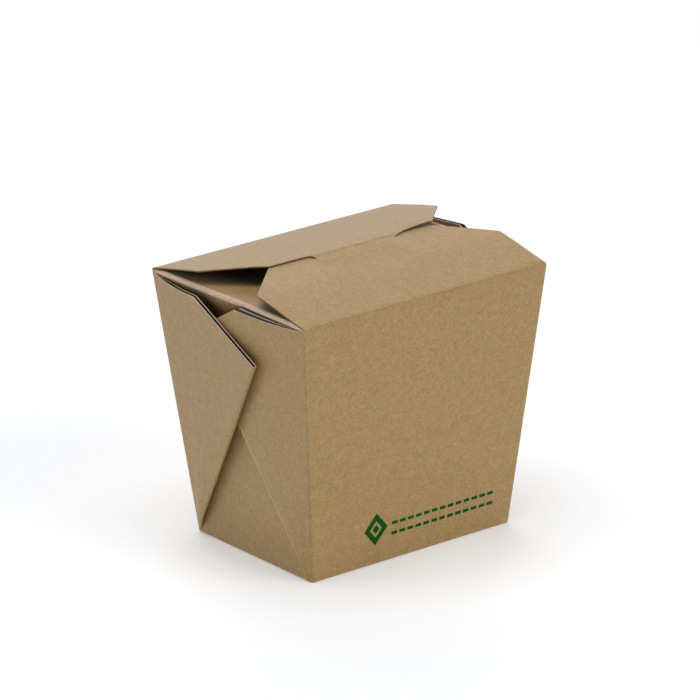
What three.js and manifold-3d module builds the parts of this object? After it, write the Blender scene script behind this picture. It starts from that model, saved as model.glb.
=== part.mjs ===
// A folded paperboard noodle carton, shut for carrying.
//
// One cut and creased sheet of kraft board makes the whole box: a small base, four walls that lean outwards, a
// folded corner web at each upright fold that is turned flat onto the end wall, two end flaps tucked in under
// the lid, and two main flaps that meet as a low roof. A tongue on the rear one locks into a slit in the front one.
//
// Millimetres, +Z up, origin at the middle of the base on the surface that the box stands on.
// X runs along the front wall, the front wall faces -Y.

import * as THREE from "three";
import Module from "manifold-3d";

// ---------------------------------------------------------------- driving dimensions

const TOP_LENGTH = 108; // outside, along X at the folds of the lid
const TOP_DEPTH = 87; // outside, along Y at the folds of the lid
const BASE_LENGTH = 89;
const BASE_DEPTH = 66;
const WALL_HEIGHT = 98.4; // base to the folds of the lid, measured upright

const BOARD = 0.6; // thickness of one layer of board, with its lining
const WALL = 1.0; // walls above the tucked flaps, where the board is doubled by the flap's fold
const EDGE_RADIUS = 2.0; // round of the upright folds
const BASE_FOLD = 0.8; // round of the folds at the base
const CORNER_STEPS = 5;

// Main flaps: they climb from their folds at a steep angle and ease off towards the middle of the roof.
const FLAP_RISE = rad(12.5);
const FLAP_EASED = rad(6);
const EASE_AT = 26;
const EASE_SPAN = 6;
const FLAP_SIDE = 26.3; // length of the flap's square-cut side, before its corner is cut off at 45 degrees
const SHOULDER_HALF = 37; // half width of the straight front edge of the rear flap
const TONGUE_HALF = 20; // half width of the tongue where it leaves that edge
const TONGUE_TIP_HALF = 18;
const TONGUE_REACH = 4.8; // how far the tongue runs past the middle before it dives into the slit
const FRONT_FLAP_OVERLAP = 1.5; // how far the front flap runs on under the rear one
const LAP = 0.25; // step between the two flaps where one lies on the other

// End flaps, tucked in under the main flaps and sloping down towards the middle.
const END_FLAP_SLOPE = rad(10);
const END_FLAP_GAP = 5.6; // left between the two end flaps' free edges
const END_FOLD = 1.0; // flat width of the fold along the top of the end wall
const CONTENT_DROP = 0.6; // step from the end flaps down to what closes the gap between them

// Corner webs, as outlines in the plane of the end wall: distance from the upright fold, then height along it.
// Each runs from the top of the upright fold along a hollow curve to a corner, then straight to its folded tip.
const WEB_ANGLE = rad(39.2); // between the upright fold and the crease that folds the web double
const REAR_WEB = { bend: [7, 94], corner: [26.3, 93.1], creaseLength: 95.3 };
const FRONT_WEB = { bend: [12, 95.6], corner: [38.1, 92.7], creaseLength: 97.9 };
const WEB_INSET = 1.4; // the webs' flat faces start this far in from the round of the upright fold
const WEB_START = 2; // distance from the bottom corner where the layers part
const REAR_SPRING = rad(5); // how far the rear web's outer layer springs away from the end wall
const REAR_GAP = 1.65; // open lens between the rear web's two layers
const FRONT_BULGE = 0.0125; // height of the front web's bulge for each millimetre from the bottom corner
const WEB_ROOT = 0.5; // how deep the webs reach into the wall that carries them

// ---------------------------------------------------------------- shared shapes

function rad(degrees) {
  return (degrees * Math.PI) / 180;
}

function halfLength(z) {
  return THREE.MathUtils.lerp(BASE_LENGTH, TOP_LENGTH, z / WALL_HEIGHT) / 2;
}

function halfDepth(z) {
  return THREE.MathUtils.lerp(BASE_DEPTH, TOP_DEPTH, z / WALL_HEIGHT) / 2;
}

// A closed body between two matching grids of points, the outer face and the inner face.
function slab(outer, inner) {
  const rows = outer.length;
  const columns = outer[0].length;
  const points = [...outer.flat(), ...inner.flat()];
  const at = (layer, i, j) => layer * rows * columns + i * columns + j;
  const index = [];
  const quad = (a, b, c, d) => index.push(a, b, c, a, c, d);
  for (let i = 0; i + 1 < rows; i++) {
    for (let j = 0; j + 1 < columns; j++) {
      quad(at(0, i, j), at(0, i + 1, j), at(0, i + 1, j + 1), at(0, i, j + 1));
      quad(at(1, i, j), at(1, i, j + 1), at(1, i + 1, j + 1), at(1, i + 1, j));
    }
  }
  for (let i = 0; i + 1 < rows; i++) {
    quad(at(0, i + 1, 0), at(0, i, 0), at(1, i, 0), at(1, i + 1, 0));
    quad(at(0, i, columns - 1), at(0, i + 1, columns - 1), at(1, i + 1, columns - 1), at(1, i, columns - 1));
  }
  for (let j = 0; j + 1 < columns; j++) {
    quad(at(0, 0, j), at(0, 0, j + 1), at(1, 0, j + 1), at(1, 0, j));
    quad(at(0, rows - 1, j + 1), at(0, rows - 1, j), at(1, rows - 1, j), at(1, rows - 1, j + 1));
  }
  return { points, index };
}

// The same body seen in a mirror that stands across the middle of the box.
function mirrored({ points, index }) {
  return { points: points.map((p) => new THREE.Vector3(-p.x, p.y, p.z)), index };
}

function signedVolume({ points, index }) {
  let sum = 0;
  for (let i = 0; i < index.length; i += 3) {
    const [a, b, c] = [points[index[i]], points[index[i + 1]], points[index[i + 2]]];
    sum += a.dot(b.clone().cross(c)) / 6;
  }
  return sum;
}

const wasm = await Module();
wasm.setup();

function solid(body) {
  const order = signedVolume(body) > 0 ? [0, 1, 2] : [0, 2, 1];
  const triVerts = new Uint32Array(body.index.length);
  for (let i = 0; i < body.index.length; i += 3) {
    order.forEach((o, k) => (triVerts[i + k] = body.index[i + o]));
  }
  const vertProperties = new Float32Array(body.points.flatMap((p) => p.toArray()));
  return new wasm.Manifold(new wasm.Mesh({ numProp: 3, vertProperties, triVerts }));
}

// ---------------------------------------------------------------- the filled box below the lid

// Outline of the box at one height: a rectangle whose corners are the round of the upright folds.
function section(z, inset) {
  const radius = EDGE_RADIUS - inset;
  const cx = halfLength(z) - EDGE_RADIUS;
  const cy = halfDepth(z) - EDGE_RADIUS;
  const ring = [];
  for (const [sx, sy, start] of [[1, 1, 0], [-1, 1, 90], [-1, -1, 180], [1, -1, 270]]) {
    for (let k = 0; k <= CORNER_STEPS; k++) {
      const a = rad(start + (90 * k) / CORNER_STEPS);
      ring.push(new THREE.Vector3(sx * cx + radius * Math.cos(a), sy * cy + radius * Math.sin(a), z));
    }
  }
  return ring;
}

// A body stacked from rings of equal count, closed by a flat face at the bottom and at the top.
function stacked(rings) {
  const count = rings[0].length;
  const points = rings.flat();
  const index = [];
  for (let r = 0; r + 1 < rings.length; r++) {
    for (let k = 0; k < count; k++) {
      const a = r * count + k;
      const b = r * count + ((k + 1) % count);
      index.push(a, b, b + count, a, b + count, a + count);
    }
  }
  const lid = (rings.length - 1) * count;
  for (let k = 1; k + 1 < count; k++) {
    index.push(0, k + 1, k, lid, lid + k, lid + k + 1);
  }
  return { points, index };
}

function box() {
  return solid(stacked([section(0, BASE_FOLD), section(BASE_FOLD, 0), section(WALL_HEIGHT, 0)]));
}

// The space above the tucked end flaps: a shallow V along X, between the front and the rear wall.
function spaceAboveEndFlaps() {
  const fold = TOP_LENGTH / 2 - END_FOLD;
  const free = END_FLAP_GAP / 2;
  const low = WALL_HEIGHT - (fold - free) * Math.tan(END_FLAP_SLOPE);
  const floor = [
    [TOP_LENGTH, WALL_HEIGHT],
    [fold, WALL_HEIGHT],
    [free, low],
    [free, low - CONTENT_DROP],
  ];
  const profile = [...floor, ...floor.map(([x, z]) => [-x, z]).reverse()];
  const above = WALL_HEIGHT + TOP_DEPTH;
  const side = (sy, z) => sy * (halfDepth(Math.min(z, WALL_HEIGHT)) - WALL);
  const face = (sy) => [
    profile.map(([x, z]) => new THREE.Vector3(x, side(sy, z), z)),
    profile.map(([x]) => new THREE.Vector3(x, side(sy, above), above)),
  ];
  return solid(slab(face(1), face(-1)));
}

// ---------------------------------------------------------------- main flaps

// Run and rise of a flap's outer face at a length along it from its fold.
function flapProfile(length) {
  const step = 0.25;
  let run = 0;
  let rise = 0;
  for (let l = 0; l < length; l += step) {
    const part = Math.min(step, length - l);
    const eased = (1 + Math.tanh((l + part / 2 - EASE_AT) / EASE_SPAN)) / 2;
    const slope = THREE.MathUtils.lerp(FLAP_RISE, FLAP_EASED, eased);
    run += part * Math.cos(slope);
    rise += part * Math.sin(slope);
  }
  return { run, rise };
}

// Height of the roof at a distance from the middle of the box.
const flapSteps = Array.from({ length: 61 }, (_, k) => flapProfile(k * 0.75));
function roofHeight(y) {
  const run = TOP_DEPTH / 2 - Math.abs(y);
  const k = THREE.MathUtils.clamp(flapSteps.findIndex((p) => p.run >= run), 1, flapSteps.length - 1);
  const [a, b] = [flapSteps[k - 1], flapSteps[k]];
  return WALL_HEIGHT + THREE.MathUtils.lerp(a.rise, b.rise, (run - a.run) / (b.run - a.run));
}

// A flap is a stack of straight rows across the box, each given by its distance from the fold and half width.
function flap(side, rows, lift) {
  const outer = [];
  const inner = [];
  for (const { run, half } of rows) {
    const y = side * (TOP_DEPTH / 2 - run);
    const z = roofHeight(y) + lift * Math.min(1, run / EASE_AT);
    outer.push([new THREE.Vector3(-half, y, z), new THREE.Vector3(half, y, z)]);
    inner.push([new THREE.Vector3(-half, y, z - BOARD), new THREE.Vector3(half, y, z - BOARD)]);
  }
  return solid(slab(outer, inner));
}

// Rows from the fold to the end of the 45 degree corners, at a spacing that keeps the bend smooth.
function flapRows(cutEnd) {
  const square = flapProfile(FLAP_SIDE).run;
  const rows = [];
  const spacing = 3.2;
  for (let run = 0.3; run < square; run += spacing) {
    rows.push({ run, half: TOP_LENGTH / 2 });
  }
  for (let run = square; run < cutEnd; run += spacing) {
    rows.push({ run, half: TOP_LENGTH / 2 - (run - square) });
  }
  rows.push({ run: cutEnd, half: TOP_LENGTH / 2 - (cutEnd - square) });
  return rows;
}

function frontFlap() {
  return flap(-1, flapRows(TOP_DEPTH / 2 + FRONT_FLAP_OVERLAP), -LAP);
}

// The rear flap lies on top: its corners end in a straight edge, and from that edge the tongue runs on.
function rearFlap() {
  const square = flapProfile(FLAP_SIDE).run;
  const cutEnd = square + TOP_LENGTH / 2 - SHOULDER_HALF;
  const edge = TOP_DEPTH / 2 + 0.5;
  return flap(
    1,
    [
      ...flapRows(cutEnd),
      { run: edge - 0.2, half: SHOULDER_HALF - 0.5 },
      { run: edge, half: TONGUE_HALF },
      { run: edge + TONGUE_REACH / 2, half: TONGUE_TIP_HALF + 0.4 },
      { run: edge + TONGUE_REACH, half: TONGUE_TIP_HALF },
    ],
    LAP,
  );
}

// ---------------------------------------------------------------- corner webs on the end wall at -X

// A frame in the plane of the end wall: along the upright fold, across towards the middle, and straight out.
function webFrame(side) {
  const foot = new THREE.Vector3(-BASE_LENGTH / 2, (side * BASE_DEPTH) / 2, 0);
  const head = new THREE.Vector3(-TOP_LENGTH / 2, (side * TOP_DEPTH) / 2, WALL_HEIGHT);
  const along = head.clone().sub(foot).normalize();
  const lean = Math.atan2((TOP_LENGTH - BASE_LENGTH) / 2, WALL_HEIGHT);
  const out = new THREE.Vector3(-Math.cos(lean), 0, -Math.sin(lean));
  const across = along.clone().cross(out).multiplyScalar(side);
  return (w, e, h) =>
    foot.clone().addScaledVector(along, e).addScaledVector(across, w).addScaledVector(out, h);
}

// Points along a web's cut edge, from the upright fold to the folded tip.
function cutEdge({ bend, corner, creaseLength }) {
  const foldLength = new THREE.Vector3(
    (TOP_LENGTH - BASE_LENGTH) / 2,
    (TOP_DEPTH - BASE_DEPTH) / 2,
    WALL_HEIGHT,
  ).length();
  const top = new THREE.Vector2(WEB_INSET, foldLength - WEB_INSET);
  const cornerPoint = new THREE.Vector2(...corner);
  const tip = new THREE.Vector2(Math.sin(WEB_ANGLE), Math.cos(WEB_ANGLE)).multiplyScalar(creaseLength);
  const hollow = new THREE.QuadraticBezierCurve(top, new THREE.Vector2(...bend), cornerPoint);
  const straight = new THREE.LineCurve(cornerPoint, tip);
  return [...hollow.getPoints(8), ...straight.getPoints(10).slice(1)];
}

// One layer of a web: straight lines fan out from the bottom corner to the cut edge. height(w, r, t) is how far
// the outer face stands off the end wall, where t runs from 0 at the upright fold to 1 at the crease.
function webLayer(side, outline, height, depth) {
  const place = webFrame(side);
  const foot = new THREE.Vector2(WEB_INSET, 0);
  const face = (drop) =>
    cutEdge(outline).map((p) => {
      const t = Math.atan2(p.x - foot.x, p.y) / WEB_ANGLE;
      return [WEB_START / p.y, 1].map((part) => {
        const q = foot.clone().lerp(p, part);
        const r = q.length();
        return place(q.x, q.y, height(q.x, r, t) - drop(q.x, r, t));
      });
    });
  return slab(face(() => 0), face(depth));
}

function frontWeb() {
  const { smoothstep } = THREE.MathUtils;
  const height = (w, r, t) => 4 * t * (1 - t) * FRONT_BULGE * r + BOARD * smoothstep(t, -0.1, 0.6);
  return webLayer(-1, FRONT_WEB, height, (w, r, t) => height(w, r, t) + WEB_ROOT);
}

function rearOuter(w) {
  return w * Math.tan(REAR_SPRING);
}

function rearOuterWeb() {
  return webLayer(1, REAR_WEB, (w) => rearOuter(w) + 0.1, () => BOARD);
}

// The inner layer lies on the end wall, then rises to meet the outer one in the rounded crease.
function rearInnerWeb() {
  const reach = REAR_WEB.creaseLength;
  const height = (w, r, t) => {
    const open = (REAR_GAP * (1 - Math.pow(2 * t - 1, 6)) * r) / reach;
    return Math.max(0.1, rearOuter(w) - BOARD + 0.15 - open);
  };
  return webLayer(1, REAR_WEB, height, () => BOARD);
}

// ---------------------------------------------------------------- the carton

function carton() {
  const webs = [frontWeb(), rearOuterWeb(), rearInnerWeb()];
  return [...webs, ...webs.map(mirrored)]
    .map(solid)
    .reduce((whole, piece) => whole.add(piece), box())
    .subtract(spaceAboveEndFlaps())
    .add(frontFlap())
    .add(rearFlap());
}

function toGeometry(manifold) {
  const { vertProperties, triVerts } = manifold.getMesh();
  const geometry = new THREE.BufferGeometry();
  geometry.setAttribute("position", new THREE.BufferAttribute(vertProperties, 3));
  geometry.setIndex(new THREE.BufferAttribute(triVerts, 1));
  geometry.computeVertexNormals();
  return geometry;
}

const kraftBoard = new THREE.MeshStandardMaterial({ color: 0xab8c62, roughness: 0.85, metalness: 0 });
const mesh = new THREE.Mesh(toGeometry(carton()), kraftBoard);
mesh.name = "carton";

const group = new THREE.Group();
group.add(mesh);

export default group;
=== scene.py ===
import math

import bmesh
import bpy
from mathutils import Matrix, Vector


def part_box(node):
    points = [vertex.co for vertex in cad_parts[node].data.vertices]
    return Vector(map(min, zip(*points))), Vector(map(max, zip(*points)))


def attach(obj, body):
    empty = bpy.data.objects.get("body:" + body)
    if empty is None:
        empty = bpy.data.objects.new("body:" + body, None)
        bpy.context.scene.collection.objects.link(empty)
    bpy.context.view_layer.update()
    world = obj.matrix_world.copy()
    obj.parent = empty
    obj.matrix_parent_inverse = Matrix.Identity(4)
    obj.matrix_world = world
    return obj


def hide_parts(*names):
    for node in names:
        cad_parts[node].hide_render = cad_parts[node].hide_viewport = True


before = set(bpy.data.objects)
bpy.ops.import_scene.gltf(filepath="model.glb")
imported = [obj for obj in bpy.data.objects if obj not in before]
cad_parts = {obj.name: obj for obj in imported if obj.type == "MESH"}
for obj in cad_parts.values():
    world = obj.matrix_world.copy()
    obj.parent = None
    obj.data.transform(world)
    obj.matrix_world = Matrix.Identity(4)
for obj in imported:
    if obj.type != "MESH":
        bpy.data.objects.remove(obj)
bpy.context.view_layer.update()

# ---------------------------------------------------------------- base
# A noodle carton is one cut and creased sheet of kraft board, and its base is the small panel in the middle
# of that sheet. A press creases it on all four sides, so that its folds come out narrow and slightly round.

MM = 0.001  # the carton is drawn in millimetres and laid in metres
FRONT, REAR = -1, 1  # the two sides of the box, along Y
LEFT, RIGHT = -1, 1  # and its two ends, along X
BASE_LENGTH = 89.0
BASE_DEPTH = 66.0
FOOT_ROUND = 1.3  # radius of the upright folds at their foot
COLUMNS = 40  # divisions of the sheet along the box
END_COLUMNS = 26  # and across it
SAME_PLACE = 0.01  # points that lie closer than this are one

flat_x = BASE_LENGTH / 2 - FOOT_ROUND
flat_y = BASE_DEPTH / 2 - FOOT_ROUND

bpy.ops.object.select_all(action="DESELECT")
bpy.ops.mesh.primitive_grid_add(x_subdivisions=COLUMNS, y_subdivisions=END_COLUMNS, size=1)
carton = bpy.context.active_object
carton.name = "folded_carton"
bpy.ops.object.mode_set(mode="EDIT")
bpy.ops.mesh.select_mode(type="VERT")
bpy.ops.mesh.select_all(action="SELECT")
bpy.ops.transform.resize(value=(2 * flat_x * MM, 2 * flat_y * MM, 1))


def base_edge(axis, place):
    """The base's vertices along one of its edges, in order."""
    sheet = bmesh.from_edit_mesh(carton.data)
    run = [v for v in sheet.verts if abs(v.co[axis] - place * MM) < SAME_PLACE * MM]
    return [v.index for v in sorted(run, key=lambda v: v.co[1 - axis])]


long_edges = {side: base_edge(1, side * flat_y) for side in (FRONT, REAR)}
end_edges = {end: base_edge(0, end * flat_x) for end in (LEFT, RIGHT)}

# ---------------------------------------------------------------- front and rear walls
# The two long walls run up from the base and lean outwards, each wider at its top than at its foot. They
# are single flat panels of board, stiff enough to stay straight.

TOP_LENGTH = 108.0  # outside, at the folds of the lid
TOP_DEPTH = (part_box("carton")[1].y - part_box("carton")[0].y) / MM
WALL_HEIGHT = 98.4
BASE_FOLD = 0.9  # radius of the folds round the base
LID_FOLD = 1.0  # and of the folds that carry the main flaps
TOP_ROUND = 0.35  # radius of the upright folds at their top
FOLD_STEPS = 5
WALL_ROWS = 26
FLAP_RISE = math.radians(12.5)  # slope of the main flaps at their folds
# The stretched and pressed kinds have faces painted paler as a highlight, and the flap kind a cut edge
# painted darker as shade.
PLAIN, STRETCHED_HIGHLIT, PRESSED_HIGHLIT, FLAP = range(4)  # kinds of board, which differ in the look of face and cut edge


def mix(a, b, part):
    """The value at a part of the way from a to b."""
    return a + (b - a) * part


def half_length(z):
    """Half the box's length outside, at a height."""
    return mix(BASE_LENGTH, TOP_LENGTH, z / WALL_HEIGHT) / 2


def half_depth(z):
    """Half its depth there."""
    return mix(BASE_DEPTH, TOP_DEPTH, z / WALL_HEIGHT) / 2


def upright_round(z):
    """Radius of its upright folds there."""
    return mix(FOOT_ROUND, TOP_ROUND, z / WALL_HEIGHT)


def rounded(corner, arrive, leave, radius):
    """Points round a fold, from the line that arrives at its corner to the line that leaves it."""
    turn = arrive.angle(leave)
    start = corner - arrive * radius * math.tan(turn / 2)
    inward = (leave - arrive * math.cos(turn)).normalized()
    points = []
    for k in range(FOLD_STEPS + 1):
        angle = turn * k / FOLD_STEPS
        points.append(start + (arrive * math.sin(angle) + inward * (1 - math.cos(angle))) * radius)
    return points


def lay(run, line, kind=PLAIN):
    """Extrudes a run of the sheet's edge, lays the new edge on a line of points and gives its vertices.

    The strip of board between the two is of the kind that is asked for.
    """
    bpy.ops.mesh.select_all(action="DESELECT")
    sheet = bmesh.from_edit_mesh(carton.data)
    sheet.verts.ensure_lookup_table()
    for number in run:
        sheet.verts[number].select = True
    sheet.select_flush(True)
    bpy.ops.mesh.extrude_edges_indiv()
    sheet = bmesh.from_edit_mesh(carton.data)
    sheet.verts.ensure_lookup_table()
    sheet.verts.index_update()
    laid = []
    for number, point in zip(run, line, strict=True):
        start = sheet.verts[number]
        new = next(e.other_vert(start) for e in start.link_edges if e.other_vert(start).select)
        new.co = point * MM
        laid.append(new.index)
        for face in new.link_faces:
            face.material_index = kind
    bmesh.update_edit_mesh(carton.data)
    return laid


def lay_panel(run, lines, kind=PLAIN):
    """Lays a panel of board line by line from a run of the sheet's edge, and gives all its runs."""
    runs = [run]
    for line in lines:
        runs.append(lay(runs[-1], line, kind))
    return runs


out = Vector((1, 0))  # a wall's section: distance from the middle of the box, then height
front_lean = math.atan2((TOP_DEPTH - BASE_DEPTH) / 2, WALL_HEIGHT)
wall_up = Vector((math.sin(front_lean), math.cos(front_lean)))
base_fold = rounded(Vector((BASE_DEPTH / 2, 0)), out, wall_up, BASE_FOLD)
flap_start = Vector((-math.cos(FLAP_RISE), math.sin(FLAP_RISE)))
lid_fold = rounded(Vector((TOP_DEPTH / 2, WALL_HEIGHT)), wall_up, flap_start, LID_FOLD)
row_heights = [mix(base_fold[-1].y, lid_fold[0].y, k / WALL_ROWS) for k in range(1, WALL_ROWS + 1)]


def row_across(half_width, y, z):
    """A straight line of points across the box, which the columns of a long panel cross."""
    return [Vector((half_width * (2 * k / COLUMNS - 1), y, z)) for k in range(COLUMNS + 1)]


def wall_row(side, y, z):
    """A row of a long wall, which ends where the upright folds start."""
    return row_across(half_length(z) - upright_round(z), side * y, z)


walls = {}
for side in (FRONT, REAR):
    fold_runs = lay_panel(long_edges[side], [wall_row(side, p.x, p.y) for p in base_fold])
    wall_runs = lay_panel(fold_runs[-1], [wall_row(side, half_depth(z), z) for z in row_heights])
    walls[side] = fold_runs + wall_runs[1:]

# ---------------------------------------------------------------- main flaps
# Two flaps close the box: they climb from the long walls and ease off into a low roof. Their corners are
# cut off. The rear one lies on top, and its tongue goes down through a slit in the front one.

FLAP_EASED = math.radians(6)  # slope of both flaps where they meet
EASE_AT = 26.0  # length along the flap where its rise eases off
EASE_SPAN = 6.0
RIDGE_ROUND = 1.5  # softness of the ridge where the two flaps meet
SECTION_STEP = 0.25  # the roof's curve is followed in steps of this length
ROW_SPACING = 3.0

FLAP_SIDE = {FRONT: 26.6, REAR: 27.3}  # length of a flap's square-cut side, up to its cut corner
FLAP_REACH = {FRONT: (0.0, 0.0), REAR: (-0.3, -0.45)}  # how far its corners stand out past the box
CUT_BACK = {FRONT: (1.06, 1.06), REAR: (1.06, 0.94)}  # what a cut takes off per millimetre along the flap
SHOULDER_AT = 44.6  # length along the rear flap of its straight front edge
FRONT_LENGTH = 45.1
ROOF_POINTS = 140  # enough of them to reach past the ridge

LAP = 0.35  # the two flaps lie this far above and below the roof's own height
RIGHT_SPRUNG = 0.7  # the rear flap's right corner has sprung up by this much
RIGHT_SPRUNG_AT = (22, 34)  # distance from the middle at which that starts, and where it is complete
SPRUNG_BEFORE_CUT = 4.0  # it starts this far before the flap's cut corner
LEFT_DROOP = 0.35  # the left corner droops
LEFT_DROOP_AT = (36, 54)
FRONT_SPRUNG = 0.6  # the front flap's left corner has sprung up too
FRONT_SPRUNG_AT = (34, 54)
# The tongue's rows, first those of the hooks at its root: left side, right side and length along the flap.
HOOK = [
    (-19.4, 24.0, 44.75),
    (-18.1, 22.9, 45.1),
    (-17.3, 20.9, 45.8),
    (-16.9, 18.7, 46.6),
    (-16.8, 18.2, 47.6),
]
TONGUE = [(-16.8, 18.1, 49.3), (-16.7, 18.0, 51.0), (-16.1, 17.5, 54.0), (-14.2, 15.8, 57.0)]
ROOT_SIDES = (-22.0, 26.5)  # the hooks start at the columns of the sheet just inside these places
SLIT = (-2.9, -2.5)  # front and rear lips of the slit, as places on Y
SLIT_SIDES = (-17.6, 19.8)
SEARCH_STEP = 0.025  # the lengths at which the front flap reaches its lips are found in steps of this
DIVE_FROM = -0.9  # place on Y where the tongue starts to go down
TONGUE_DOWN = 0.75  # past the slit it goes down by this much more
TONGUE_DOWN_AT = -8.0  # place on Y where it is that deep
LIP_RAISED = 0.85  # it pushes the slit's front lip up by this much
LIP_RAISED_FROM = -14.0  # place on Y from which the front flap rises to that lip
LIP_PRESSED = 0.15  # and it presses the rear lip down
LIP_PRESSED_FROM = 2.0
LIP_SQUARENESS = 6  # the higher, the more evenly the lips part along the slit


def smooth(low, high, value):
    """0 at low, 1 at high and beyond, and an S-shaped rise between them."""
    part = min(1, max(0, (value - low) / (high - low)))
    return part * part * (3 - 2 * part)


def flap_section(length):
    """Distance from the fold and rise of a flap's face at a length along it."""
    point = Vector((0, 0))
    steps = max(1, round(length / SECTION_STEP))
    for k in range(steps):
        eased = (1 + math.tanh((length * (k + 0.5) / steps - EASE_AT) / EASE_SPAN)) / 2
        slope = mix(FLAP_RISE, FLAP_EASED, eased)
        point += Vector((math.cos(slope), math.sin(slope))) * length / steps
    return point


roof = [flap_section(k * 2 * SECTION_STEP) for k in range(ROOF_POINTS)]


def roof_height(y):
    """Height of the roof at a distance from the middle of the box; past the middle it falls again."""
    run = TOP_DEPTH / 2 - math.hypot(y, RIDGE_ROUND)
    k = max(1, next(k for k, p in enumerate(roof) if p.x >= run))
    part = (run - roof[k - 1].x) / (roof[k].x - roof[k - 1].x)
    return WALL_HEIGHT + mix(roof[k - 1].y, roof[k].y, part)


def flap_sides(side, length):
    """Left and right ends of a row of a flap: square-cut first, then with its corner cut off."""
    ends = []
    for direction, reach, cut_back in zip((LEFT, RIGHT), FLAP_REACH[side], CUT_BACK[side]):
        widened = mix(-TOP_ROUND, reach, smooth(0, FLAP_SIDE[side], length))
        cut_off = cut_back * max(0, length - FLAP_SIDE[side])
        ends.append(direction * (TOP_LENGTH / 2 + widened - cut_off))
    return ends


def flap_line(side, left, right, length, columns, rise):
    """A row of a main flap from its left end to its right one, with a rise of its own at each point."""
    y = side * (TOP_DEPTH / 2 - flap_section(length).x)
    line = []
    for k in columns:
        x = mix(left, right, (k - columns[0]) / (columns[-1] - columns[0]))
        line.append(Vector((x, y, roof_height(y) + rise(x, y, length))))
    return line


def rear_rise(x, y, length):
    """The rear flap rests on the front one; its corners have sprung, and its tongue dives into the slit."""
    along = smooth(FLAP_SIDE[REAR] - SPRUNG_BEFORE_CUT, SHOULDER_AT, length)
    sprung = RIGHT_SPRUNG * smooth(*RIGHT_SPRUNG_AT, x) * along
    droop = LEFT_DROOP * smooth(*LEFT_DROOP_AT, -x) * smooth(0, FLAP_SIDE[REAR], length)
    dive = LAP * smooth(DIVE_FROM, SLIT[1], y) + TONGUE_DOWN * smooth(SLIT[1], TONGUE_DOWN_AT, y)
    return LAP * min(1, length / EASE_AT) + sprung - droop - dive


def slit_window(x):
    """1 along the slit, falling off to 0 at its two ends."""
    place = 2 * (x - SLIT_SIDES[0]) / (SLIT_SIDES[1] - SLIT_SIDES[0]) - 1
    return 1 - min(1, abs(place)) ** LIP_SQUARENESS


def front_rise(x, y, length):
    """The front flap lies below, and the tongue parts the lips of its slit."""
    if y < mix(*SLIT, 0.5):
        lip = LIP_RAISED * smooth(LIP_RAISED_FROM, SLIT[0], y)
    else:
        lip = -LIP_PRESSED * smooth(LIP_PRESSED_FROM, SLIT[1], y)
    sprung = FRONT_SPRUNG * smooth(*FRONT_SPRUNG_AT, -x) * smooth(0, FLAP_SIDE[FRONT], length)
    return lip * slit_window(x) + sprung - LAP * min(1, length / EASE_AT)


def even_lengths(start, end):
    """Lengths along a flap after start, up to and with end, at about the row spacing."""
    count = math.ceil((end - start) / ROW_SPACING)
    return [mix(start, end, k / count) for k in range(1, count + 1)]


def length_to(y):
    """Length along the front flap at which it reaches a place on Y."""
    length = 0
    while flap_section(length).x < TOP_DEPTH / 2 + y:
        length += SEARCH_STEP
    return length


def lay_lid_fold(side):
    """Lays the fold of a main flap along the top of its wall, and gives its last run."""
    rows = [row_across(TOP_LENGTH / 2 - TOP_ROUND, side * p.x, p.y) for p in lid_fold[1:]]
    return lay_panel(walls[side][-1], rows, FLAP)[-1]


def flap_rows(side, lengths, rise):
    """The rows of a main flap at a list of lengths along it."""
    return [flap_line(side, *flap_sides(side, length), length, whole, rise) for length in lengths]


whole = list(range(COLUMNS + 1))
fold_end = LID_FOLD * math.tan(wall_up.angle(flap_start) / 2)

# The front flap, and the slit between two of its rows.
lips = [length_to(y) for y in SLIT]
lengths = even_lengths(fold_end, FLAP_SIDE[FRONT]) + even_lengths(FLAP_SIDE[FRONT], lips[0])
lengths += [lips[1]] + even_lengths(lips[1], FRONT_LENGTH)
lay_panel(lay_lid_fold(FRONT), flap_rows(FRONT, lengths, front_rise), FLAP)
bpy.ops.mesh.select_all(action="DESELECT")
sheet = bmesh.from_edit_mesh(carton.data)
for face in sheet.faces:
    middle = face.calc_center_median() / MM
    in_slit = SLIT[0] < middle.y < SLIT[1] and SLIT_SIDES[0] < middle.x < SLIT_SIDES[1]
    face.select = in_slit and middle.z > WALL_HEIGHT
bpy.ops.mesh.delete(type="FACE")

# The rear flap up to its straight edge, and from the middle of that edge its tongue.
lengths = even_lengths(fold_end, FLAP_SIDE[REAR]) + even_lengths(FLAP_SIDE[REAR], SHOULDER_AT)
rows = flap_rows(REAR, lengths, rear_rise)
shoulder = lay_panel(lay_lid_fold(REAR), rows, FLAP)[-1]
root = [k for k in whole if ROOT_SIDES[0] < rows[-1][k].x < ROOT_SIDES[1]]
rows = [flap_line(REAR, left, right, length, root, rear_rise) for left, right, length in HOOK + TONGUE]
lay_panel([shoulder[k] for k in root], rows, FLAP)

# ---------------------------------------------------------------- upright folds and corner webs
# At each upright corner the board turns round the fold onto the end of the box and is folded double there,
# so that no seam lets liquid out. The rear web lies over the front one and stands off it like a lapel.

CORNER_STEPS = 6
CREASE_STEPS = 6
WEB_ANGLE = math.radians(39.2)  # between the upright fold and the crease that doubles the web
WALL_DROP = 1.0  # the end wall lies this far inside the webs' own plane
CLEARANCE = 0.06  # least gap between a web's layers, and between a web and the wall
REAR_SPRUNG = {LEFT: (5, 5), RIGHT: (18, 6)}  # degrees that a rear web stands off by, at fold and tip
REAR_TURNS_FROM = 0.35  # part of the way across the web where the one starts to pass into the other
REAR_PUFF = 1.5  # its doubled board puffs up by this much just above its foot
PUFF_ACROSS = 0.7  # parts of its width and of its height by which the puff has grown to the full
PUFF_ABOVE = 0.1
REAR_LAYERS = {LEFT: (1.0, 1.8), RIGHT: (1.0, 2.4)}  # from face to face of its layers, at foot and cut edge
FRONT_BULGE = {LEFT: 1.2, RIGHT: 2.4}
FRONT_LIFT = 0.5  # its crease stands off the wall by this much
FRONT_LAYERS = (1.0, 0.15)  # from face to face of its layers, at its folds and more at its bulge
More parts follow.
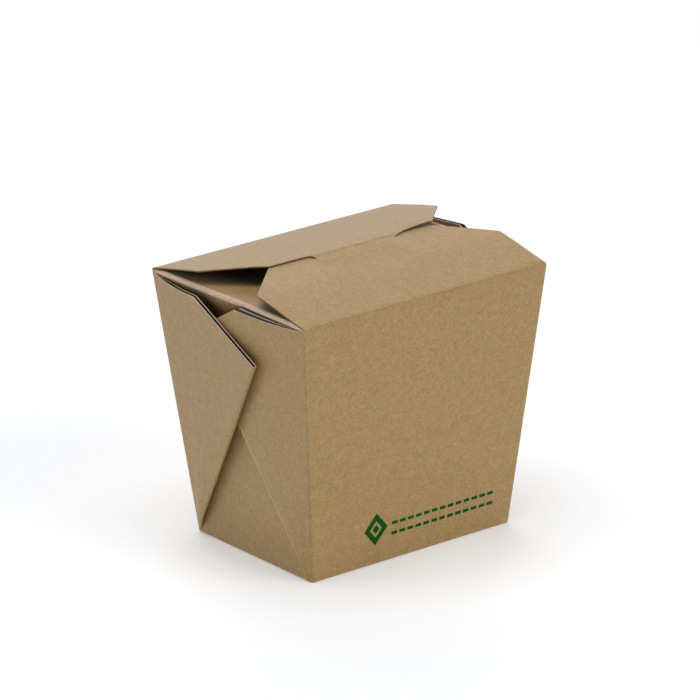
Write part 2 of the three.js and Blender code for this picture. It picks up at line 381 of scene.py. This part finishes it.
# The webs' cut edges, in places across and along the web: the bend of the hollow, its corner, and last how
# far along the crease the folded tip is.
REAR_CUT = {
    LEFT: {"bend": (7, 94), "corner": (26.3, 93.1), "tip": 95.0},
    RIGHT: {"bend": (8, 97.2), "corner": (30, 94.6), "tip": 95.0},
}
FRONT_CUT = {"bend": (12, 95.6), "corner": (38.1, 92.7), "tip": 97.9}
FRONT_INNER_CUT = {"bend": (14, 95.9), "corner": (35.3, 94.3), "tip": 97.9}
HOLLOW_POINTS = 8
STRAIGHT_POINTS = 11
PRESSED_HIGHLIT_FROM = 0.93  # part of the straight cut from which a front web's face is painted paler as the crease's highlight, up to its crease

end_lean = math.atan2((TOP_LENGTH - BASE_LENGTH) / 2, WALL_HEIGHT)
end_up = Vector((math.sin(end_lean), math.cos(end_lean)))
end_base_fold = rounded(Vector((BASE_LENGTH / 2, 0)), out, end_up, BASE_FOLD)


def place_of(number):
    """Where a vertex of the sheet lies, in millimetres."""
    sheet = bmesh.from_edit_mesh(carton.data)
    sheet.verts.ensure_lookup_table()
    return sheet.verts[number].co / MM


def web_frame(end, side):
    """A web's foot and its directions: away from the upright fold, along that fold, and off the wall."""
    foot = Vector((end * BASE_LENGTH / 2, side * BASE_DEPTH / 2, 0))
    head = Vector((end * TOP_LENGTH / 2, side * TOP_DEPTH / 2, WALL_HEIGHT))
    along = (head - foot).normalized()
    off = Vector((end * math.cos(end_lean), 0, -math.sin(end_lean)))
    across = along.cross(off) * (-side * end)
    return foot, across, along, off


def cut_edge(cut, start):
    """Points along a web's cut edge: a hollow curve to a corner, then straight to the folded tip."""
    corner = Vector(cut["corner"])
    bend = Vector(cut["bend"])
    tip = Vector((math.sin(WEB_ANGLE), math.cos(WEB_ANGLE))) * cut["tip"]
    hollow = [k / HOLLOW_POINTS for k in range(1, HOLLOW_POINTS + 1)]
    points = [start * (1 - t) ** 2 + bend * 2 * t * (1 - t) + corner * t * t for t in hollow]
    straight = [k / STRAIGHT_POINTS for k in range(1, STRAIGHT_POINTS)] + [PRESSED_HIGHLIT_FROM, 1]
    return points + [corner.lerp(tip, t) for t in straight]


def rear_heights(end, width, part, turned):
    """Outer and inner face of a rear web, which has sprung open by a few degrees.

    width is the distance from the upright fold. part goes from 0 at the web's foot to 1 at its cut edge,
    and turned from 0 at the upright fold to 1 at the crease.
    """
    sprung = mix(*REAR_SPRUNG[end], smooth(REAR_TURNS_FROM, 1, turned))
    puff = REAR_PUFF * smooth(0, PUFF_ACROSS, turned) * smooth(0, PUFF_ABOVE, part) * (1 - part) ** 2
    outer = width * math.tan(math.radians(sprung)) + puff
    return outer, outer - mix(*REAR_LAYERS[end], part)


def front_heights(end, width, part, turned):
    """Outer and inner face of a front web, which bulges between its folds."""
    bulge = 4 * turned * (1 - turned) * part  # 1 half way across, at the cut edge
    outer = FRONT_BULGE[end] * bulge + FRONT_LIFT * smooth(0, 1, turned)
    return outer, outer - FRONT_LAYERS[0] - FRONT_LAYERS[1] * bulge


def turn_corner(end, side):
    """Lays the board round an upright fold, and gives its last run and the points where that lies."""
    column = [run[0 if end == LEFT else -1] for run in walls[side]]
    wall_points = [place_of(number) for number in column]
    end_points = [wall_points[0]]
    end_points += [Vector((end * p.x, side * flat_y, p.y)) for p in end_base_fold]
    for p in wall_points[1 + len(end_base_fold):]:
        y = side * (half_depth(p.z) - upright_round(p.z))
        end_points.append(Vector((end * half_length(p.z), y, p.z)))
    for k in range(1, CORNER_STEPS + 1):
        turn = math.pi / 2 * k / CORNER_STEPS
        line = []
        for near, far in zip(wall_points, end_points):
            x = mix(near.x, far.x, math.sin(turn))
            y = mix(far.y, near.y, math.cos(turn))
            line.append(Vector((x, y, mix(near.z, far.z, math.sin(turn) ** 2))))
        column = lay(column, line)
    return column, end_points


def web_rays(end, side, top, parts):
    """The lines in which a web is laid: those of its outer layer, of its crease and of its inner layer.

    Each runs straight from the bottom corner to the cut edge, which starts at the top of the upright fold,
    and has its points at the given parts of its length.
    """
    foot, across, along, off = web_frame(end, side)
    start = Vector(((top - foot).dot(across), (top - foot).dot(along)))
    low = Vector((end * BASE_LENGTH / 2, side * flat_y, 0)) - foot
    hub = Vector((low.dot(across), low.dot(along)))
    crease_out = Vector((math.cos(WEB_ANGLE), -math.sin(WEB_ANGLE)))
    outward = across * crease_out.x + along * crease_out.y
    deepest = CLEARANCE - WALL_DROP
    heights = rear_heights if side == REAR else front_heights

    def ray(tip, is_inner):
        """One line of board, to a point of the cut edge."""
        line = []
        turned = math.atan2(tip.x - hub.x, tip.y - hub.y) / WEB_ANGLE
        for part in parts:
            place = hub.lerp(tip, part)
            outer, inner = heights(end, place.x, part, turned)
            inner = max(inner, min(deepest, outer - CLEARANCE))
            place = place - crease_out * (outer - inner) / 2 * turned
            height = inner if is_inner else outer
            line.append(foot + across * place.x + along * place.y + off * height)
        return line

    outer_cut = REAR_CUT[end] if side == REAR else FRONT_CUT
    inner_cut = REAR_CUT[end] if side == REAR else FRONT_INNER_CUT
    outer_rays = [ray(tip, False) for tip in cut_edge(outer_cut, start)]
    inner_rays = [ray(tip, True) for tip in reversed(cut_edge(inner_cut, start))]
    crease = []
    for k in range(1, CREASE_STEPS + 1):
        turn = math.pi * k / CREASE_STEPS
        line = []
        for outer, inner in zip(outer_rays[-1], inner_rays[0]):
            middle = (outer + inner) / 2
            radius = (outer - inner).length / 2
            line.append(middle + (outer - middle) * math.cos(turn) + outward * radius * math.sin(turn))
        crease.append(line)
    return outer_rays, crease, inner_rays


def corner_web(end, side):
    """Turns the board round an upright fold onto the end of the box, and folds it double there."""
    column, end_points = turn_corner(end, side)
    column = column[len(end_base_fold):]
    upright = end_points[len(end_base_fold):]
    parts = [p.z / upright[-1].z for p in upright]
    outer_rays, crease, inner_rays = web_rays(end, side, upright[-1], parts)
    column = lay_panel(column, outer_rays[:-1])[-1]
    # A front web's crease and the strip before it are laid in the paler crease kraft, which is partly a
    # painted highlight.
    column = lay_panel(column, outer_rays[-1:] + crease, PRESSED_HIGHLIT if side == FRONT else PLAIN)[-1]
    lay_panel(column, inner_rays[1:])


for end in (LEFT, RIGHT):
    for side in (FRONT, REAR):
        corner_web(end, side)

# ---------------------------------------------------------------- end walls and end flaps
# The end walls carry the webs on their outside. Their tops are folded in to make the two end flaps, which
# are tucked under the lid first. The pull of the tucked flap hollows the wall just below its fold.

END_FOLD = 0.8  # radius of the fold that carries the end flap
CREST = {LEFT: 98.85, RIGHT: 97.35}  # height of the top of that fold
FRONT_CREST = {LEFT: 0.5, RIGHT: 1.5}  # its front half stands higher by this much
FRONT_CREST_AT = (0.6, -0.3)  # places across the wall, from -1 to 1, between which that height is gained
RIGHT_BOW = 0.6  # on the right its middle stands further out
CORNER_DIP = 0.75  # at its ends the fold dips under the main flaps' folds and draws in
CORNER_DRAW = 0.4
CORNER_AT = (0.84, 0.98)  # places across the wall between which it does so
DROP_BY = 12.0  # height up its slope at which the wall has gone in to its full depth behind the webs
OVERHANG = math.radians(36)  # the fold curls this far past level over the wall, which hollows it
HOLLOW = (1.7, 4.2)  # depth of the hollow below the fold, at the wall's sides and in its middle
HOLLOW_FROM = 30.0  # height up its slope where the wall starts to turn towards it
END_FLAP_SLOPE = {LEFT: math.radians(2.5), RIGHT: math.radians(10)}
SAG = {LEFT: 0.0, RIGHT: math.radians(28)}  # the right flap falls more steeply just behind its fold
SAG_LENGTH = 12.0
END_FLAP_LENGTH = 51.0
SIDE_INSET = 0.6  # the wall and its flap stop this far inside the upright folds
WALL_STEPS = 20
RIM_FROM = 84.0  # from here up the rows lie closer
RIM_STEPS = 12
CREST_STEPS = 8
END_FLAP_STEPS = 17

places = [2 * k / END_COLUMNS - 1 for k in range(END_COLUMNS + 1)]  # across the box, -1 at front, 1 at rear


def wall_inset(s):
    """How far the end wall lies inside the plane of the webs, at a height up its slope."""
    return WALL_DROP * smooth(0, DROP_BY, s)


def crest(end, place):
    """Outermost and highest reach of the end flap's fold, at a place across the box."""
    near_side = smooth(*CORNER_AT, abs(place))
    bow = RIGHT_BOW * (1 - place**2) if end == RIGHT else 0
    raised = FRONT_CREST[end] * smooth(*FRONT_CREST_AT, place)
    reach = TOP_LENGTH / 2 + bow - CORNER_DRAW * near_side
    return Vector((reach, CREST[end] + raised - CORNER_DIP * near_side))


def end_section(end, place):
    """Section of an end wall, its fold and its flap: distance from the middle of the box, then height."""
    middle = crest(end, place) - Vector((END_FOLD, END_FOLD))
    fold = []
    for k in range(CREST_STEPS + 1):
        angle = mix(-OVERHANG, math.pi / 2 + END_FLAP_SLOPE[end] + SAG[end], k / CREST_STEPS)
        fold.append(middle + Vector((math.cos(angle), math.sin(angle))) * END_FOLD)
    foot = Vector((BASE_LENGTH / 2, 0))
    off = Vector((math.cos(end_lean), -math.sin(end_lean)))
    low = (end_base_fold[-1] - foot).length
    top = (fold[0] - foot).dot(end_up)
    rim = (fold[0] - foot).dot(off)
    depth = mix(*HOLLOW, 1 - place**2)
    reach = 2 * depth / math.tan(OVERHANG)
    heights = [mix(low, RIM_FROM, k / WALL_STEPS) for k in range(1, WALL_STEPS + 1)]
    heights += [mix(RIM_FROM, top, k / RIM_STEPS) for k in range(1, RIM_STEPS)]
    section = []
    for s in heights:
        left_over = 1 - min(1, (top - s) / reach)
        hollow = rim - depth * (1 - left_over**2)
        height = mix(-wall_inset(s), hollow, smooth(HOLLOW_FROM, top - reach, s))
        section.append(foot + end_up * s + off * height)
    flap = [fold[-1]]
    step = END_FLAP_LENGTH / END_FLAP_STEPS
    for k in range(END_FLAP_STEPS):
        slope = END_FLAP_SLOPE[end] + SAG[end] * smooth(SAG_LENGTH, 0, (k + 0.5) * step)
        flap.append(flap[-1] - Vector((math.cos(slope), math.sin(slope))) * step)
    return section, fold, flap[1:]


def end_rows(end, sections):
    """The rows of an end panel, from its sections side by side."""
    rows = []
    for row in zip(*sections):
        half = half_depth(min(row[0].y, WALL_HEIGHT)) - SIDE_INSET
        rows.append([Vector((end * p.x, half * place, p.y)) for p, place in zip(row, places)])
    return rows


for end in (LEFT, RIGHT):
    lines = [[Vector((end * p.x, flat_y * place, p.y)) for place in places] for p in end_base_fold]
    run = lay_panel(end_edges[end], lines)[-1]
    walls_across, folds, flaps = zip(*[end_section(end, place) for place in places])
    run = lay_panel(run, end_rows(end, walls_across))[-1]
    # The end flap's fold is laid in the pale stretched kraft, which is partly a painted highlight.
    run = lay_panel(run, end_rows(end, folds), STRETCHED_HIGHLIT)[-1]
    lay_panel(run, end_rows(end, flaps))

bpy.ops.mesh.select_all(action="SELECT")
bpy.ops.mesh.remove_doubles(threshold=SAME_PLACE * MM)
bpy.ops.mesh.normals_make_consistent(inside=False)
bpy.ops.object.mode_set(mode="OBJECT")

# ---------------------------------------------------------------- board
# The sheet is kraft paperboard: long unbleached fibres outside, a thin grey moisture lining inside, partly
# painted shade, and a pale cut edge where the press has sheared the fibres, partly painted highlight. All
# that is laid so far is its outer face.

BOARD = 0.48  # thickness of the sheet
CLOUD_SIZE = 3.0  # of the patches where the pulp settled unevenly
GRAIN_SIZE = 0.8  # of the fibre ends, which are finer on real board; drawn as coarse as they need to show
GRAIN_SHARE = 0.8  # what the grain has in the pattern; the clouds have the rest
GRAIN_DEPTH = 0.06
SMOOTH_ANGLE = math.radians(35)  # faces that meet at less than this look like one curve


def linear(hex_colour):
    """The linear values of an sRGB colour."""
    parts = [int(hex_colour[k:k + 2], 16) / 255 for k in (1, 3, 5)]
    return [c / 12.92 if c <= 0.04045 else ((c + 0.055) / 1.055) ** 2.4 for c in parts] + [1]


def add(tree, kind, inputs, **settings):
    """Adds a node with its settings; an input is given a value or the output that feeds it."""
    made = tree.nodes.new("ShaderNode" + kind)
    for name, value in settings.items():
        setattr(made, name, value)
    for name, value in inputs.items():
        if isinstance(value, bpy.types.NodeSocket):
            tree.links.new(value, made.inputs[name])
        else:
            made.inputs[name].default_value = value
    return made


def new_material(name, roughness, ior):
    """A material, its nodes and its shader, whose own sockets hold what is the same all over."""
    material = bpy.data.materials.new(name)
    material.use_nodes = True
    shader = material.node_tree.nodes["Principled BSDF"]
    shader.inputs["Roughness"].default_value = roughness
    shader.inputs["IOR"].default_value = ior
    return material, material.node_tree, shader


def per_mm(size):
    """Pattern scale whose features are about this many millimetres across."""
    return 1 / (size * MM)


def fibres(tree, shader, dark, plain, light, contrast):
    """Colours a material as paper pulp, with a fine grain over faint clouds, and gives the grain."""
    place = add(tree, "TexCoord", {}).outputs["Object"]
    clouds = {"Vector": place, "Scale": per_mm(CLOUD_SIZE), "Detail": 2.0, "Roughness": 0.5}
    fibre_ends = {"Vector": place, "Scale": per_mm(GRAIN_SIZE), "Detail": 3.0, "Roughness": 0.75}
    cloud = add(tree, "TexNoise", clouds).outputs["Fac"]
    grain = add(tree, "TexNoise", fibre_ends).outputs["Fac"]
    both = add(tree, "Mix", {0: GRAIN_SHARE, 2: cloud, 3: grain}, data_type="FLOAT").outputs[0]
    ramp = add(tree, "ValToRGB", {"Fac": both})
    ramp.color_ramp.elements[0].position = 0.5 - contrast
    ramp.color_ramp.elements[0].color = linear(dark)
    ramp.color_ramp.elements[1].position = 0.5 + contrast
    ramp.color_ramp.elements[1].color = linear(light)
    middle = ramp.color_ramp.elements.new(0.5)
    middle.color = linear(plain)
    tree.links.new(ramp.outputs["Color"], shader.inputs["Base Color"])
    return grain


# Kraft paperboard: matt, with a soft pale sheen at low angles from its fine loose fibres.
kraft, tree, shader = new_material("kraft_paperboard", 0.5, 1.5)
grain = fibres(tree, shader, "#937339", "#A5834A", "#B7945A", 0.16)
shader.inputs["Sheen Weight"].default_value = 0.2
shader.inputs["Sheen Roughness"].default_value = 0.55
bump = add(tree, "Bump", {"Height": grain, "Strength": 0.3, "Distance": GRAIN_DEPTH * MM})
tree.links.new(bump.outputs["Normal"], shader.inputs["Normal"])

# Stretched kraft, for the end flap's fold: its fibres are pulled open and a little paler, and it is painted
# paler and pinker still as the highlight where the rounded fold faces up into the light.
stretched_highlit_kraft, tree, shader = new_material("stretched_highlit_kraft", 0.5, 1.5)
fibres(tree, shader, "#C7A587", "#D6B598", "#E2C6AC", 0.16)
shader.inputs["Sheen Weight"].default_value = 0.3
shader.inputs["Sheen Roughness"].default_value = 0.55

# Pressed crease kraft: a front web's crease is pressed flat, which leaves its fibres a little paler, and it
# is painted paler still as the highlight its nose catches.
pressed_highlit_kraft, tree, shader = new_material("pressed_highlit_kraft", 0.5, 1.5)
fibres(tree, shader, "#A18048", "#B29155", "#C2A26A", 0.16)
shader.inputs["Sheen Weight"].default_value = 0.3
shader.inputs["Sheen Roughness"].default_value = 0.55

# Moisture lining: a thin grey film on the inside, painted as dark as it looks in the shaded gaps between a
# web's layers, so its darkness is partly painted shade.
shaded_lining, tree, shader = new_material("grey_lining_painted_shade", 0.55, 1.5)
fibres(tree, shader, "#35312E", "#3F3A36", "#4A4540", 0.2)

# Cut edge: sheared fibres, somewhat paler than the face and rougher, and painted paler still as the
# highlight on rims that face up into the light.
cut, tree, shader = new_material("cut_board_edge_painted_highlight", 0.8, 1.45)
fibres(tree, shader, "#BFAD97", "#CCBBA6", "#D8C9B6", 0.2)

# The main flaps' cut edges: painted darker than the face, as the shade in the gaps under their edges.
shaded_flap_edge, tree, shader = new_material("flap_edge_painted_shade", 0.8, 1.45)
fibres(tree, shader, "#6F5330", "#7D6040", "#8B6E4C", 0.2)

# Each kind of board has its face, its inside and its cut edge, in the order of the kinds.
faces = [kraft, stretched_highlit_kraft, pressed_highlit_kraft, kraft]
insides = [shaded_lining] * len(faces)
edges = [cut, cut, cut, shaded_flap_edge]
for material in faces + insides + edges:
    carton.data.materials.append(material)
bpy.ops.object.modifier_add(type="SOLIDIFY")
thickness = carton.modifiers["Solidify"]
thickness.thickness = BOARD * MM
thickness.offset = -1
thickness.material_offset = len(faces)
thickness.material_offset_rim = len(faces) + len(insides)
bpy.ops.object.modifier_apply(modifier="Solidify")
bpy.ops.object.shade_smooth_by_angle(angle=SMOOTH_ANGLE)
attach(carton, "root")
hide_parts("carton")

# ---------------------------------------------------------------- print
# A small mark and two rows of dashes in one green ink stand low on the front wall. A flexo press lays them
# on the board before it is cut, in a film far thinner than the board.

MARK_AT = (-17.1, 13.8)  # across the wall from its middle, and up its slope
MARK_SIZE = (10.4, 12.4)
MARK_STROKE = 1.9
MARK_CORE = (3.0, 3.6)  # a small full diamond in the middle of the open one
DASH_ROWS = (14.4, 10.4)  # heights up the wall's slope
DASHES_FROM = -10.0
DASHES_TO = 38.0
DASH_SIZE = (2.6, 1.2)
DASH_GAP = 1.0
INK = 0.03  # the film is thinner still on real board; at this it stays clear of the face

bpy.ops.object.select_all(action="DESELECT")
bpy.ops.mesh.primitive_circle_add(vertices=4, radius=0.5, fill_type="NGON")
ink_print = bpy.context.active_object
ink_print.name = "ink_print"
bpy.ops.object.mode_set(mode="EDIT")
bpy.ops.mesh.select_all(action="SELECT")
bpy.ops.transform.resize(value=(MARK_SIZE[0] * MM, MARK_SIZE[1] * MM, 1))
bpy.ops.mesh.inset(thickness=MARK_STROKE * MM)
bpy.ops.mesh.delete(type="FACE")
bpy.ops.mesh.primitive_circle_add(vertices=4, radius=0.5, fill_type="NGON")
bpy.ops.transform.resize(value=(MARK_CORE[0] * MM, MARK_CORE[1] * MM, 1))
bpy.ops.mesh.select_all(action="SELECT")
bpy.ops.transform.translate(value=(MARK_AT[0] * MM, MARK_AT[1] * MM, 0))
for height in DASH_ROWS:
    left = DASHES_FROM
    while left + DASH_SIZE[0] <= DASHES_TO:
        centre = ((left + DASH_SIZE[0] / 2) * MM, height * MM, 0)
        bpy.ops.mesh.primitive_plane_add(size=1, location=centre)
        dash = (DASH_SIZE[0] * MM, DASH_SIZE[1] * MM, 1)
        bpy.ops.transform.resize(value=dash, center_override=centre)
        left += DASH_SIZE[0] + DASH_GAP
bpy.ops.object.mode_set(mode="OBJECT")
ink_print.rotation_euler.x = math.pi / 2 + front_lean
ink_print.location.y = -BASE_DEPTH / 2 * MM
bpy.ops.object.transform_apply(location=True, rotation=True, scale=True)

# Water-based flexo ink: it soaks into the board and dries deep green and matt, with hardly any reflection.
green_ink, tree, shader = new_material("green_flexo_ink", 0.8, 1.25)
fibres(tree, shader, "#014404", "#024F06", "#085B0E", 0.2)
ink_print.data.materials.append(green_ink)
bpy.ops.object.modifier_add(type="SOLIDIFY")
ink_print.modifiers["Solidify"].thickness = INK * MM
ink_print.modifiers["Solidify"].offset = 1
bpy.ops.object.modifier_apply(modifier="Solidify")
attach(ink_print, "root")

# ---------------------------------------------------------------- studio floor, lights and camera
# A plain white table under four soft lamps: a broad one at the front right, one above, a large one behind
# on the right and a weaker one on the left. A long lens looks at the box's front left corner.

AIM = Vector((0, 0, 0.05))  # the middle of the box, which the lamps face
TARGET = Vector((-0.0003, 0, 0.0669))  # what the camera looks at, and from where
AZIMUTH = math.radians(-38.01)
ELEVATION = math.radians(19.84)
ROLL = math.radians(-0.97)
DISTANCE = 2.0354
LENS = 297.4  # millimetres of focal length, on a sensor of the width below
SENSOR = 36
TABLE_SIZE = 20

bpy.ops.object.select_all(action="DESELECT")
bpy.ops.mesh.primitive_plane_add(size=TABLE_SIZE)
floor = bpy.context.active_object
floor.name = "floor"
table_top, tree, shader = new_material("white_table", 0.9, 1.3)
shader.inputs["Base Color"].default_value = linear("#F2F4F7")
shader.inputs["Emission Color"].default_value = linear("#FFFFFF")
shader.inputs["Emission Strength"].default_value = 0.24
floor.data.materials.append(table_top)

world = bpy.data.worlds.new("studio")
bpy.context.scene.world = world
world.use_nodes = True
world.node_tree.nodes["Background"].inputs["Color"].default_value = linear("#FFFFFF")
world.node_tree.nodes["Background"].inputs["Strength"].default_value = 0.05


def softbox(name, location, size, radiance):
    """A square area lamp that faces the box, with the same brightness from any distance."""
    bpy.ops.object.light_add(type="AREA")
    lamp = bpy.context.active_object
    lamp.name = name
    lamp.data.size = size
    lamp.data.energy = radiance * math.pi * size * size
    lamp.location = location
    lamp.rotation_euler = (AIM - lamp.location).to_track_quat("-Z", "Y").to_euler()


softbox("front_softbox", (0.9, -2.2, 1.2), 1.6, 3.2)
softbox("top_softbox", (-0.15, 0.0, 2.2), 1.8, 3.0)
softbox("backdrop", (1.4, 2.2, 1.5), 2.4, 1.6)
softbox("left_softbox", (-1.8, 0.9, 0.9), 1.4, 1.35)

bpy.ops.object.camera_add()
camera = bpy.context.active_object
level_back = Vector((math.sin(AZIMUTH), -math.cos(AZIMUTH), 0))
back = level_back * math.cos(ELEVATION) + Vector((0, 0, math.sin(ELEVATION)))
camera.location = TARGET + back * DISTANCE
level = (-back).to_track_quat("-Z", "Y").to_matrix()
camera.rotation_euler = (Matrix.Rotation(ROLL, 3, back) @ level).to_euler()
camera.data.lens = LENS
camera.data.sensor_width = SENSOR
camera.data.clip_start = 0.1
camera.data.clip_end = 50
bpy.context.scene.camera = camera
bpy.context.scene.view_settings.view_transform = "Standard"
